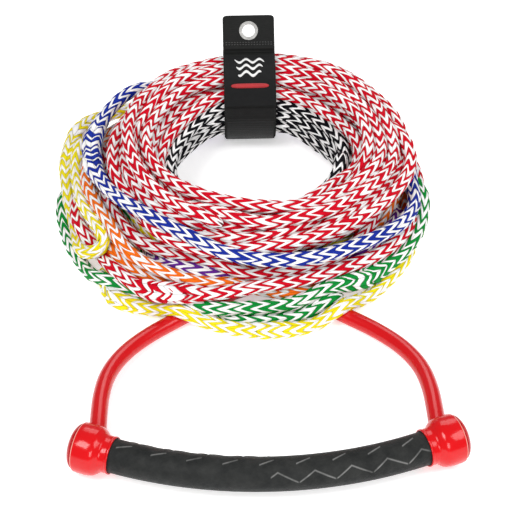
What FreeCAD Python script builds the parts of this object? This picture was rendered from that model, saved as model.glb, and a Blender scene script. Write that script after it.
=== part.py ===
# A water-ski tow line: a curved floating handle on a bridle of two sleeved rope legs, and the long line
# coiled behind it, with a webbing keeper strap round the coil.
#
# Units are millimetres. +Z is up, +X runs along the handle and +Y from the handle towards the coil. The
# origin is on the surface that everything lies on, below the middle of the handle and bridle.
#
# Sections through the coil are drawn in the plane x = 0, as distance from the coil's axis and height. The
# coil's rings are those sections turned about the axis, and the keeper's webbing is the same kind of
# section carried straight along X.
import FreeCAD, Part
import math
import os

# Handle: an arc in plan, with a straight stub at each end that carries the cap.
GRIP_HALF_CHORD = 126.5
GRIP_END_ANGLE = math.radians(21.0)
GRIP_FRONT_Y = -134.0
GRIP_RADIUS = 14.25
CORE_RADIUS = 11.0
CORE_WALL = 1.6
CORE_SEAT = 12.0
GRIP_SEAT = 4.0
COLLAR_RADIUS = 15.6
CAP_RADIUS = 21.0
CAP_FACE = 33.0
PLUG_RADIUS = 14.5
PLUG_SEAT_DEPTH = 3.0
PLUG_DOME = 3.5
KNOT_RADIUS = 8.4
KNOT_FROM_COLLAR = 21.0

# Bridle: the rope legs and the plastic sleeves over them. The line through both pivots is where the
# legs bend as the handle swings.
SLEEVE_RADIUS = 6.35
SLEEVE_BORE = 4.6
BRIDLE_ROPE_RADIUS = 4.5
PIVOT_X = 139.5
PIVOT_Y = -57.0
HINGE_GAP = 0.3
BRIDLE_ROUTE = [
    (PIVOT_X, PIVOT_Y, CAP_RADIUS),
    (139.0, -29.0, 19.3),
    (134.5, 1.0, 15.5),
    (121.5, 29.0, 11.5),
    (101.0, 53.0, 8.6),
    (77.0, 72.5, 7.0),
    (51.5, 90.0, 6.6),
    (26.0, 106.0, 6.6),
]
JUNCTION_CENTRE = (0.0, 116.0, 8.0)
JUNCTION_RADIUS = 8.0
JUNCTION_REAR_Y = 134.0

# Coil: where its axis stands, and the section of its main bundle.
COIL_Y = 236.25
BUNDLE_INNER = 77.0
BUNDLE_OUTER = 160.0
BUNDLE_LOW = 2.2
BUNDLE_HIGH = 90.2
BUNDLE_CORNER = 41.0
BUNDLE_MIDDLE = 46.0
BLACK_OUTER = 118.0
INNER_STACK_OUTER = 136.0
LOWER_SPLIT = 24.0
BLUE_INNER = 146.0
BLUE_HIGH = 60.0
LINE_HEIGHT = 13.4

# Loose outer turns: plan centre, inner and outer radius, lowest point and the arc that they cover.
YELLOW_TURN = ((-14.0, COIL_Y - 10.0), 162.0, 184.0, 0.0, 140.0, 390.0)
GREEN_TURN = ((-6.0, COIL_Y - 6.0), 163.5, 177.0, LINE_HEIGHT + 0.2, 165.0, 390.0)

# Keeper: a webbing loop round the far side of the bundle, sewn together at the seam on its top, with a tab
# that leans back from the seam and a flap that closes over the loop. Out and forward are measured from the
# middle of the loop's outer top corner, and along the tab from its hinge.
WEBBING_WIDTH = 50.8
KEEPER_X = -3.6
WEBBING = 1.8
PILE = 0.8
LABEL = 0.6
LOOP_INNER = 70.8
LOOP_OUTER = 160.3
LOOP_LOW = 1.9
LOOP_HIGH = 90.5
SEAM_ANGLE = math.radians(4.0)
SEAM_HALF_WIDTH = 4.0
SEAM_RISE = 6.5
FLAP_OFFSET = 3.7
FLAP_END_Z = 57.0
FLAP_HINGE = 5.1
FLAP_ROOT = 6.3
TAB_HINGE = 49.9
TAB_ANGLE = math.radians(42.0)
TAB_ROOT = 2.1
TAB_TOP = 32.1
TAB_THICKNESS = 3.6
GROMMET_HEIGHT = 16.8
GROMMET_BORE = 6.1
GROMMET_BARREL = 7.0
GROMMET_FLANGE = 9.2
GROMMET_SHEET = 0.8

SAG = GRIP_HALF_CHORD * math.tan(GRIP_END_ANGLE / 2)
GRIP_MID_Y = GRIP_FRONT_Y + GRIP_RADIUS
GRIP_END_Y = GRIP_MID_Y + SAG
X_AXIS = FreeCAD.Vector(1, 0, 0)
Y_AXIS = FreeCAD.Vector(0, 1, 0)
Z_AXIS = FreeCAD.Vector(0, 0, 1)


def point(x, y, z):
    return FreeCAD.Vector(x, y, z)


def save(shape, node):
    shape.exportStep("parts/" + node + ".step")


def save_pair(shape, node):
    """Writes the right-hand piece and its mirror image."""
    save(shape, node + "_right")
    save(shape.mirror(point(0, 0, 0), X_AXIS), node + "_left")


def face_of(edges):
    return Part.Face(Part.Wire(edges))


def polygon(corners):
    """A flat face in the plane x = 0, from corners given as distance from the coil's axis and height."""
    places = [point(0, COIL_Y + u, z) for u, z in corners]
    return Part.Face(Part.makePolygon(places + places[:1]))


def disc(centre, direction, radius):
    return Part.Wire([Part.Circle(centre, direction, radius).toShape()])


def swept(edges, radius):
    """A round bar along edges that join smoothly, checked against its section times its length."""
    path = Part.Wire(edges)
    start = path.Edges[0].valueAt(path.Edges[0].FirstParameter)
    heading = path.Edges[0].tangentAt(path.Edges[0].FirstParameter)
    bar = path.makePipeShell([disc(start, heading, radius)], True, True)
    ratio = bar.Volume / (math.pi * radius**2 * path.Length)
    print("swept volume against section times length: %.4f" % ratio)
    return bar


def rounded_route(corners, name):
    """Straight runs joined by tangent arcs, each as large as its two runs allow."""
    places = [point(*corner) for corner in corners]
    edges = []
    here = places[0]
    radii = []
    for before, corner, after in zip(places, places[1:], places[2:]):
        arriving = (corner - before).normalize()
        leaving = (after - corner).normalize()
        half_turn = arriving.getAngle(leaving) / 2
        reach = 0.45 * min(before.distanceToPoint(corner), corner.distanceToPoint(after))
        radius = reach / math.tan(half_turn)
        radii.append(radius)
        inward = (leaving - arriving).normalize()
        middle = corner + inward * (radius / math.cos(half_turn) - radius)
        arc_start = corner - arriving * reach
        arc_end = corner + leaving * reach
        edges.append(Part.LineSegment(here, arc_start).toShape())
        edges.append(Part.Arc(arc_start, middle, arc_end).toShape())
        here = arc_end
    edges.append(Part.LineSegment(here, places[-1]).toShape())
    length = sum(edge.Length for edge in edges)
    print("%s: length %.1f, radii" % (name, length), " ".join("%.0f" % radius for radius in radii))
    return edges


# ---- handle ----


def handle_path(stub):
    """The handle's centre line: its arc, and a straight stub of the given length at each end."""
    ends = []
    for side in (-1, 1):
        root = point(side * GRIP_HALF_CHORD, GRIP_END_Y, CAP_RADIUS)
        outward = point(side * math.cos(GRIP_END_ANGLE), math.sin(GRIP_END_ANGLE), 0)
        ends.append((root, root + outward * stub))
    (left_root, left_tip), (right_root, right_tip) = ends
    return [
        Part.LineSegment(left_tip, left_root).toShape(),
        Part.Arc(left_root, point(0, GRIP_MID_Y, CAP_RADIUS), right_root).toShape(),
        Part.LineSegment(right_root, right_tip).toShape(),
    ]


def at_handle_end(shape):
    """Moves a piece turned about +X, with 0 at the grip's end, onto the handle's right end."""
    placed = shape.copy()
    placed.rotate(point(0, 0, 0), Z_AXIS, math.degrees(GRIP_END_ANGLE))
    placed.translate(point(GRIP_HALF_CHORD, GRIP_END_Y, CAP_RADIUS))
    return placed


def turned(edges):
    return face_of(edges).revolve(point(0, 0, 0), X_AXIS, 360)


def profile_line(*corners):
    """Straight edges through corners given as (along the axis, radius)."""
    places = [point(a, 0, r) for a, r in corners]
    return [Part.LineSegment(a, b).toShape() for a, b in zip(places, places[1:])]


def profile_arc(start, middle, end):
    return Part.Arc(point(start[0], 0, start[1]), point(middle[0], 0, middle[1]),
                    point(end[0], 0, end[1])).toShape()


def end_cap():
    """Collar and round head in one moulding, bored for the tube, the knot, the plug and the sleeve."""
    head_start = (7.0, COLLAR_RADIUS)
    head_front = (18.0, CAP_RADIUS)
    head_back = (23.5, CAP_RADIUS)
    rim = (CAP_FACE, PLUG_RADIUS + 1.2)
    plug_seat = CAP_FACE - PLUG_SEAT_DEPTH
    edges = profile_line((0, GRIP_RADIUS), (0, COLLAR_RADIUS), head_start)
    edges.append(profile_arc(head_start, (11.3, 19.4), head_front))
    edges += profile_line(head_front, head_back)
    edges.append(profile_arc(head_back, (29.8, 19.4), rim))
    edges += profile_line(
        rim, (CAP_FACE, PLUG_RADIUS), (plug_seat, PLUG_RADIUS), (plug_seat, CORE_RADIUS),
        (GRIP_SEAT, CORE_RADIUS), (GRIP_SEAT, GRIP_RADIUS), (0, GRIP_RADIUS),
    )
    cap = at_handle_end(turned(edges))
    stub_hole = Part.makeCylinder(SLEEVE_RADIUS, 60, stub_start(), Y_AXIS)
    rope_hole = Part.makeCylinder(BRIDLE_ROPE_RADIUS, 60, tail_start(), Y_AXIS)
    return cap.cut(stub_hole).cut(rope_hole)


def end_plug():
    """The domed disc pressed into the cap's outer face."""
    edge = (CAP_FACE + 0.6, PLUG_RADIUS)
    crown = (CAP_FACE + PLUG_DOME, 0)
    seat = CAP_FACE - PLUG_SEAT_DEPTH
    rise = crown[0] - edge[0]
    dome_radius = (PLUG_RADIUS**2 + rise**2) / (2 * rise)
    half_way = math.asin(PLUG_RADIUS / dome_radius) / 2
    middle = (crown[0] - dome_radius * (1 - math.cos(half_way)), dome_radius * math.sin(half_way))
    edges = profile_line((seat, 0), (seat, PLUG_RADIUS), edge)
    edges.append(profile_arc(edge, middle, crown))
    edges += profile_line(crown, (seat, 0))
    return at_handle_end(turned(edges))


def knot_centre():
    """A point on the cap's axis, in the middle of its hollow."""
    x = GRIP_HALF_CHORD + KNOT_FROM_COLLAR * math.cos(GRIP_END_ANGLE)
    return point(x, GRIP_END_Y + KNOT_FROM_COLLAR * math.sin(GRIP_END_ANGLE), CAP_RADIUS)


def tail_start():
    """Beside the knot, straight in front of the pivot."""
    return point(PIVOT_X, knot_centre().y, CAP_RADIUS)


def stub_start():
    return point(PIVOT_X, PIVOT_Y - 22.0, CAP_RADIUS)


def bar_to_hinge(start, radius):
    """A round bar along +Y that stops where the leg's rounded end needs room to turn."""
    stop = PIVOT_Y - SLEEVE_RADIUS - HINGE_GAP
    return Part.makeCylinder(radius, stop - start.y, start, Y_AXIS)


def bridle_knot():
    """The stopper knot in the cap's hollow, with the rope's tail out to where the leg bends."""
    tail = bar_to_hinge(tail_start(), BRIDLE_ROPE_RADIUS)
    return Part.makeSphere(KNOT_RADIUS, knot_centre()).fuse(tail).removeSplitter()


def sleeve_stub():
    start = stub_start()
    return bar_to_hinge(start, SLEEVE_RADIUS).cut(bar_to_hinge(start, SLEEVE_BORE))


def build_handle():
    core_path = handle_path(CORE_SEAT)
    core_bore = swept(core_path, CORE_RADIUS - CORE_WALL)
    save(swept(core_path, CORE_RADIUS).cut(core_bore), "handle_core")
    save(swept(handle_path(CORE_SEAT - 2), CORE_RADIUS - CORE_WALL), "float_core")
    grip_path = handle_path(GRIP_SEAT)
    save(swept(grip_path, GRIP_RADIUS).cut(swept(grip_path, CORE_RADIUS)), "grip_sleeve")
    save_pair(end_cap(), "end_cap")
    save_pair(end_plug(), "end_plug")
    save_pair(bridle_knot(), "bridle_knot")
    save_pair(sleeve_stub(), "sleeve_stub")


# ---- bridle ----


def rounded_leg(radius):
    """A bar along the leg's route with a half ball at the pivot."""
    bar = swept(rounded_route(BRIDLE_ROUTE, "bridle leg"), radius)
    return bar.fuse(Part.makeSphere(radius, point(*BRIDLE_ROUTE[0]))).removeSplitter()


def junction(extra):
    """Where both legs are bound to the line, with extra millimetres all over for its channel."""
    centre = point(*JUNCTION_CENTRE)
    leg_end = point(*BRIDLE_ROUTE[-1])
    arm = Part.makeCylinder(SLEEVE_RADIUS + extra, leg_end.distanceToPoint(centre), leg_end, centre - leg_end)
    whipping = Part.makeCylinder(JUNCTION_RADIUS + extra, JUNCTION_REAR_Y + extra - centre.y, centre, Y_AXIS)
    knot = Part.makeSphere(JUNCTION_RADIUS + extra, centre)
    other_arm = arm.mirror(point(0, 0, 0), X_AXIS)
    return knot.fuse([whipping, arm, other_arm]).removeSplitter()


def build_bridle():
    rope = rounded_leg(BRIDLE_ROPE_RADIUS)
    bore = swept(rounded_route(BRIDLE_ROUTE, "sleeve bore"), SLEEVE_BORE)
    bore = bore.fuse(Part.makeSphere(SLEEVE_BORE, point(*BRIDLE_ROUTE[0])))
    save_pair(rope, "bridle_rope")
    save_pair(rounded_leg(SLEEVE_RADIUS).cut(bore), "bridle_sleeve")
    leg = rounded_leg(SLEEVE_RADIUS)
    save(junction(0).cut(leg).cut(leg.mirror(point(0, 0, 0), X_AXIS)), "bridle_junction")


# ---- coil ----


def rounded_section(inner, outer, low, high, corner):
    """A rectangle with round corners, as a face in the plane x = 0."""
    edges = []
    centres = [
        (outer - corner, low + corner, -90), (outer - corner, high - corner, 0),
        (inner + corner, high - corner, 90), (inner + corner, low + corner, 180),
    ]
    ends = []
    for u, z, first in centres:
        on_arc = []
        for degrees in (first, first + 45, first + 90):
            angle = math.radians(degrees)
            on_arc.append(point(0, COIL_Y + u + corner * math.cos(angle), z + corner * math.sin(angle)))
        edges.append(Part.Arc(*on_arc).toShape())
        ends.append((on_arc[0], on_arc[2]))
    for (_, leave), (arrive, _) in zip(ends, ends[1:] + ends[:1]):
        if leave.distanceToPoint(arrive) > 0.01:
            edges.append(Part.LineSegment(leave, arrive).toShape())
    return face_of(Part.sortEdges(edges)[0])


def bundle_section():
    return rounded_section(BUNDLE_INNER, BUNDLE_OUTER, BUNDLE_LOW, BUNDLE_HIGH, BUNDLE_CORNER)


def rectangle(inner, outer, low, high):
    return polygon([(inner, low), (outer, low), (outer, high), (inner, high)])


def ring(section, channels):
    """A section of the bundle turned about the coil's axis, less the channels that the bridle lies in."""
    turned_ring = section.revolve(point(0, COIL_Y, 0), Z_AXIS, 360)
    for channel in channels:
        turned_ring = turned_ring.cut(channel)
    return turned_ring


def loose_turn(turn, channels):
    """One outer turn on its own centre, over part of a circle, less the bundle and the channels."""
    (centre_x, centre_y), inner, outer, low, first, last = turn
    high = low + LINE_HEIGHT
    places = [point(centre_x + r, centre_y, z) for r, z in
              ((inner, low), (outer, low), (outer, high), (inner, high))]
    section = Part.Face(Part.makePolygon(places + places[:1]))
    section.rotate(point(centre_x, centre_y, 0), Z_AXIS, first)
    turned_arc = section.revolve(point(centre_x, centre_y, 0), Z_AXIS, last - first)
    turned_arc = turned_arc.cut(bundle_section().revolve(point(0, COIL_Y, 0), Z_AXIS, 360))
    for channel in channels:
        turned_arc = turned_arc.cut(channel)
    return turned_arc


def build_coil():
    leg = rounded_leg(SLEEVE_RADIUS + HINGE_GAP)
    channels = [leg, leg.mirror(point(0, 0, 0), X_AXIS), junction(HINGE_GAP)]
    inside = BUNDLE_INNER - 5
    outside = BUNDLE_OUTER + 5
    blue = rectangle(BLUE_INNER, outside, BUNDLE_MIDDLE, BLUE_HIGH)
    sections = {
        "coil_red": rectangle(inside, outside, BUNDLE_MIDDLE, BUNDLE_HIGH).cut(blue),
        "coil_blue": blue,
        "coil_black": rectangle(inside, BLACK_OUTER, BUNDLE_LOW, BUNDLE_MIDDLE),
        "coil_violet": rectangle(BLACK_OUTER, INNER_STACK_OUTER, BUNDLE_LOW, LOWER_SPLIT),
        "coil_red_short": rectangle(BLACK_OUTER, INNER_STACK_OUTER, LOWER_SPLIT, BUNDLE_MIDDLE),
        "coil_red_lead": rectangle(INNER_STACK_OUTER, outside, BUNDLE_LOW, LOWER_SPLIT),
        "coil_orange": rectangle(INNER_STACK_OUTER, outside, LOWER_SPLIT, BUNDLE_MIDDLE),
    }
    for node, section in sections.items():
        save(ring(section.common(bundle_section()), channels), node)
    save(loose_turn(YELLOW_TURN, channels), "coil_yellow")
    save(loose_turn(GREEN_TURN, channels), "coil_green")


# ---- keeper ----

LOOP_CORNER = BUNDLE_CORNER
SEAM_CENTRE = (LOOP_OUTER - LOOP_CORNER, LOOP_HIGH - LOOP_CORNER)


def placed(start, angle, forward, out):
    """A place given from a start, in directions that lean back from upright by an angle."""
    u = start[0] - forward * math.cos(angle) + out * math.sin(angle)
    z = start[1] + forward * math.sin(angle) + out * math.cos(angle)
    return (u, z)


def by_seam(forward, out):
    return placed(SEAM_CENTRE, SEAM_ANGLE, forward, out)


def on_tab(forward, out):
    return placed(by_seam(0, TAB_HINGE), TAB_ANGLE, forward, out)


def loop_section(offset):
    return rounded_section(LOOP_INNER - offset, LOOP_OUTER + offset, LOOP_LOW - offset,
                           LOOP_HIGH + offset, LOOP_CORNER + offset)


def band(inner_offset, thickness, keep=None, drop=None):
    """One layer of webbing round the loop's section, over the stretch that keep or drop gives."""
    layer = loop_section(inner_offset + thickness).cut(loop_section(inner_offset))
    if keep:
        layer = layer.common(polygon(keep))
    if drop:
        layer = layer.cut(polygon(drop))
    return across(layer)


def across(section):
    """Carries a section along X over the webbing's width."""
    flat = section.copy()
    flat.translate(point(KEEPER_X - WEBBING_WIDTH / 2, 0, 0))
    return flat.extrude(point(WEBBING_WIDTH, 0, 0))


def strip(place, half_width, low, high):
    return polygon([place(-half_width, low), place(half_width, low),
                    place(half_width, high), place(-half_width, high)])


def grommet_bar(radius, from_face, to_face):
    """A bar on the axis of the tab's hole, between two distances forward of the tab's middle plane."""
    u, z = on_tab(from_face, GROMMET_HEIGHT)
    heading = point(0, -math.cos(TAB_ANGLE), math.sin(TAB_ANGLE))
    return Part.makeCylinder(radius, to_face - from_face, point(KEEPER_X, COIL_Y + u, z), heading)


def grommet_ring(inner, outer, from_face, to_face):
    return grommet_bar(outer, from_face, to_face).cut(grommet_bar(inner, from_face, to_face))


def build_keeper():
    above = LOOP_HIGH + 30
    inside = LOOP_INNER - 15
    top_inner = LOOP_INNER + LOOP_CORNER
    strap = band(0, WEBBING, drop=[
        (top_inner, SEAM_CENTRE[1]), (top_inner, above),
        by_seam(-SEAM_HALF_WIDTH, 80), by_seam(-SEAM_HALF_WIDTH, 0)])
    pile = band(WEBBING, PILE, keep=[
        (inside, 12.5), (inside, above), (top_inner - 2, above), (top_inner - 2, 12.5)])
    hooks = band(FLAP_OFFSET - PILE, PILE, keep=[
        (inside, FLAP_END_Z + 5), (inside, above), (104, above), (104, FLAP_END_Z + 5)])
    flap = band(FLAP_OFFSET, WEBBING, keep=[
        (inside, FLAP_END_Z), (inside, above), by_seam(FLAP_ROOT, 80), by_seam(FLAP_ROOT, 0),
        (top_inner, FLAP_END_Z)])
    label = band(FLAP_OFFSET + WEBBING, LABEL, keep=[
        (inside, FLAP_END_Z + 7), (inside, above), (top_inner, above), (top_inner, FLAP_END_Z + 7)])
    seam = strip(by_seam, SEAM_HALF_WIDTH, LOOP_CORNER - 3, LOOP_CORNER + SEAM_RISE).cut(loop_section(0))
    tab = across(strip(on_tab, TAB_THICKNESS / 2, TAB_ROOT, TAB_TOP))
    face = TAB_THICKNESS / 2
    rim = face + GROMMET_SHEET
    tab = tab.cut(grommet_bar(GROMMET_BARREL, -rim, rim))
    grommet = grommet_ring(GROMMET_BORE, GROMMET_BARREL, -rim, rim)
    grommet = grommet.fuse(grommet_ring(GROMMET_BORE, GROMMET_FLANGE, face, rim)).removeSplitter()
    save(strap, "keeper_strap")
    save(pile, "keeper_loop_pile")
    save(across(seam), "keeper_seam")
    save(flap, "keeper_flap")
    save(hooks, "keeper_hook_patch")
    save(label, "keeper_label")
    save(tab, "keeper_tab")
    save(grommet, "grommet")
    save(grommet_ring(GROMMET_BARREL, GROMMET_FLANGE, -rim, -face), "grommet_washer")


os.makedirs("parts", exist_ok=True)
build_handle()
build_bridle()
build_coil()
build_keeper()
for name, (u, z) in (("flap hinge", by_seam(FLAP_HINGE, LOOP_CORNER + FLAP_OFFSET + WEBBING / 2)),
                     ("tab hinge", on_tab(0, 0)), ("grommet", on_tab(0, GROMMET_HEIGHT))):
    print("%s: y %.3f, z %.3f" % (name, COIL_Y + u, z))
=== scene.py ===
"""Looks of the water-ski tow line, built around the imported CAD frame. Metres throughout.

The frame is x along the handle, y from the handle towards the coil, z up. Sections through the coil are
given as (angle about its axis in degrees, distance from the axis in mm, height in mm): -90 is the side
nearest the handle, 180 the left and 90 the far side, where the keeper is.
"""
import math

import bmesh
import bpy
import numpy as np
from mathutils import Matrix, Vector
from mathutils.kdtree import KDTree


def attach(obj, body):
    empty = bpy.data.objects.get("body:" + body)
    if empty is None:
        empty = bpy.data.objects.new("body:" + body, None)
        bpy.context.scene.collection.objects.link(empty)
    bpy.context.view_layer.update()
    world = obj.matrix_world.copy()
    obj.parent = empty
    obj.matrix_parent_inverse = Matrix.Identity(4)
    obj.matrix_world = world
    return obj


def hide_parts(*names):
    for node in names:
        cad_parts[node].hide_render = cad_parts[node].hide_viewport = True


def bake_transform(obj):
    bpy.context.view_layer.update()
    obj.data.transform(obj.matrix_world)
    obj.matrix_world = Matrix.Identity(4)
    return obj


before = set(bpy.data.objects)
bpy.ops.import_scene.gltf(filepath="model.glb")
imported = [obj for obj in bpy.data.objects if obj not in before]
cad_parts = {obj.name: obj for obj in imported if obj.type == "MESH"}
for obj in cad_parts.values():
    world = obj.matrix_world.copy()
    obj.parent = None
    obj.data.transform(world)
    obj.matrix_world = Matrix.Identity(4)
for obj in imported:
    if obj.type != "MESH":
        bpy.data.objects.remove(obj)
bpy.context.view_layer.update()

MM = 0.001


# ---- node helpers ----


class Nodes:
    """A material's node tree, with short calls for adding and joining nodes."""

    def __init__(self, name):
        self.material = bpy.data.materials.new(name)
        self.material.use_nodes = True
        self.tree = self.material.node_tree
        self.shader = self.tree.nodes["Principled BSDF"]

    def add(self, kind, **settings):
        node = self.tree.nodes.new(kind)
        for key, value in settings.items():
            setattr(node, key, value)
        return node

    def join(self, source, target):
        self.tree.links.new(source, target)

    def feed(self, value, socket):
        """Joins a socket, or sets a plain number or colour."""
        if hasattr(value, "is_output"):
            self.join(value, socket)
        else:
            socket.default_value = (*value, 1) if isinstance(value, tuple) else value

    def maths(self, operation, a, b=0.0, c=0.0):
        node = self.add("ShaderNodeMath", operation=operation)
        for value, socket in zip((a, b, c), node.inputs):
            self.feed(value, socket)
        return node.outputs[0]

    def wave(self, value, period):
        return self.maths("SINE", self.maths("MULTIPLY", value, 2 * math.pi / period))

    def from_middle(self, value):
        """How far a value is from the middle of its unit step."""
        return self.maths("ABSOLUTE", self.maths("SUBTRACT", self.maths("FRACT", value), 0.5))

    def ramp(self, factor, *stops):
        """A colour ramp through (place, colour) stops."""
        node = self.add("ShaderNodeValToRGB")
        elements = node.color_ramp.elements
        while len(elements) < len(stops):
            elements.new(0.5)
        for element, (place, colour) in zip(elements, stops):
            element.position = place
            element.color = (*colour, 1)
        self.feed(factor, node.inputs[0])
        return node.outputs[0]

    def mix(self, factor, a, b, blend="MIX"):
        node = self.add("ShaderNodeMix", data_type="RGBA", blend_type=blend)
        for value, socket in zip((factor, a, b), (node.inputs["Factor"], node.inputs[6], node.inputs[7])):
            self.feed(value, socket)
        return node.outputs[2]

    def times(self, a, b):
        return self.mix(1.0, a, b, "MULTIPLY")

    def coordinates(self):
        return self.add("ShaderNodeTexCoord").outputs["Object"]

    def attribute(self, name):
        return self.add("ShaderNodeAttribute", attribute_name=name).outputs["Fac"]

    def uv(self, name):
        node = self.add("ShaderNodeUVMap", uv_map=name)
        parts = self.add("ShaderNodeSeparateXYZ")
        self.join(node.outputs[0], parts.inputs[0])
        return node.outputs[0], parts.outputs[0], parts.outputs[1]

    def noise(self, scale, detail=2.0, roughness=0.5, vector=None):
        node = self.add("ShaderNodeTexNoise")
        node.inputs["Scale"].default_value = scale
        node.inputs["Detail"].default_value = detail
        node.inputs["Roughness"].default_value = roughness
        self.join(vector or self.coordinates(), node.inputs["Vector"])
        return node.outputs["Fac"]

    def scaled(self, vector, scale):
        node = self.add("ShaderNodeMapping")
        node.inputs["Scale"].default_value = scale
        self.join(vector, node.inputs["Vector"])
        return node.outputs[0]

    def bump(self, height, strength, distance, before=None):
        node = self.add("ShaderNodeBump")
        node.inputs["Strength"].default_value = strength
        node.inputs["Distance"].default_value = distance
        self.join(height, node.inputs["Height"])
        if before:
            self.join(before, node.inputs["Normal"])
        return node.outputs[0]

    def finish(self, colour, roughness, normal=None, **sockets):
        self.feed(colour, self.shader.inputs["Base Color"])
        self.feed(roughness, self.shader.inputs["Roughness"])
        if normal:
            self.join(normal, self.shader.inputs["Normal"])
        for key, value in sockets.items():
            self.shader.inputs[key.replace("_", " ")].default_value = value
        return self.material


# ---- mesh helpers ----


def new_object(name, vertices, faces, material=None, smooth=True):
    mesh = bpy.data.meshes.new(name)
    mesh.from_pydata([tuple(v) for v in vertices], [], [tuple(f) for f in faces])
    mesh.validate()
    piece = bpy.data.objects.new(name, mesh)
    bpy.context.scene.collection.objects.link(piece)
    if smooth:
        mesh.shade_smooth()
    if material:
        mesh.materials.append(material)
    return piece


def tube(name, rings, wide, long, material, uv_name="surface", closed_ends=True):
    """A mesh round rings of points, whose UV map has one value per column and one per ring."""
    count, around = rings.shape[:2]
    row, column = (index[..., None] for index in np.mgrid[:count - 1, :around])
    rows = row + np.array([0, 0, 1, 1])
    columns = column + np.array([0, 1, 1, 0])
    faces = (rows * around + columns % around).reshape(-1, 4).tolist()
    if closed_ends:
        faces.append(list(range(around))[::-1])
        faces.append([(count - 1) * around + m for m in range(around)])
    piece = new_object(name, rings.reshape(-1, 3), faces, material)
    uv = np.zeros((len(piece.data.loops), 2))
    uv[:columns.size] = np.stack([wide[columns], long[rows]], axis=-1).reshape(-1, 2)
    piece.data.uv_layers.new(name=uv_name).data.foreach_set("uv", uv.ravel())
    return piece


# ---- lines ----


def along(points):
    """Distance of each point along a polyline."""
    steps = np.linalg.norm(np.diff(points, axis=0), axis=1)
    return np.concatenate([[0.0], np.cumsum(steps)])


def resampled(rows, spacing):
    """Even steps along a polyline whose columns after the third are carried along."""
    distance = along(rows[:, :3])
    count = max(4, int(round(distance[-1] / spacing)) + 1)
    wanted = np.linspace(0, distance[-1], count)
    return np.stack([np.interp(wanted, distance, rows[:, k]) for k in range(rows.shape[1])], axis=1)


def smoothed(points, passes):
    """Rounds off a polyline without drawing its bends in."""
    p = points.copy()
    for _ in range(passes):
        for weight in (0.5, -0.52):
            q = p.copy()
            q[1:-1] += weight * (0.5 * (p[:-2] + p[2:]) - p[1:-1])
            p = q
    return p


def frames(points, up=(0.0, 0.0, 1.0)):
    """Unit tangents and two unit normals that turn as little as they can along the line."""
    tangents = np.gradient(points, axis=0)
    tangents /= np.linalg.norm(tangents, axis=1)[:, None]
    normals = np.empty_like(points)
    normal = np.array(up) - tangents[0] * np.dot(up, tangents[0])
    for k, tangent in enumerate(tangents):
        normal = normal - tangent * np.dot(normal, tangent)
        normal /= np.linalg.norm(normal)
        normals[k] = normal
    return tangents, normals, np.cross(tangents, normals)


# ---- the rope's braid ----

COLUMNS = 8                 # yarn columns round the rope
STEPS_PER_COLUMN = 3
AROUND = COLUMNS * STEPS_PER_COLUMN
ROWS_PER_FLOAT = 3
FLOAT_PITCH = 7.25 * MM     # one float along the rope, coloured and white in turn
ZIGZAG = 12.5 * MM          # how far a float runs along the rope across one column
ROPE_RADIUS = 6.5 * MM
ROW_HEIGHT = (0.0, 1.0, 0.9)
COLUMN_HEIGHT = (0.1, 0.95, 0.95)
COLUMN_RISE = (0.0, 0.3, 0.7)
UNEVEN = 1.5 * MM           # how much one float's place differs from the next
RELIEF = 1.1 * MM
TWIST = 4.0                 # radians that the braid turns in each metre
SPLICE_LUMPS = 0.7 * MM     # how unevenly the floats stand out where a splice makes the line thicker
SPLICE_MOST = 10.0 * MM     # the largest radius that a splice reaches
SPLICE_SHORTER = 1.3        # how much shorter a splice's floats are, for each part that it is thicker
SPLICE_MUDDLE = 1.6         # how much more uneven they are
TAPER = 9 * MM              # a line's spliced end narrows over this length


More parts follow.
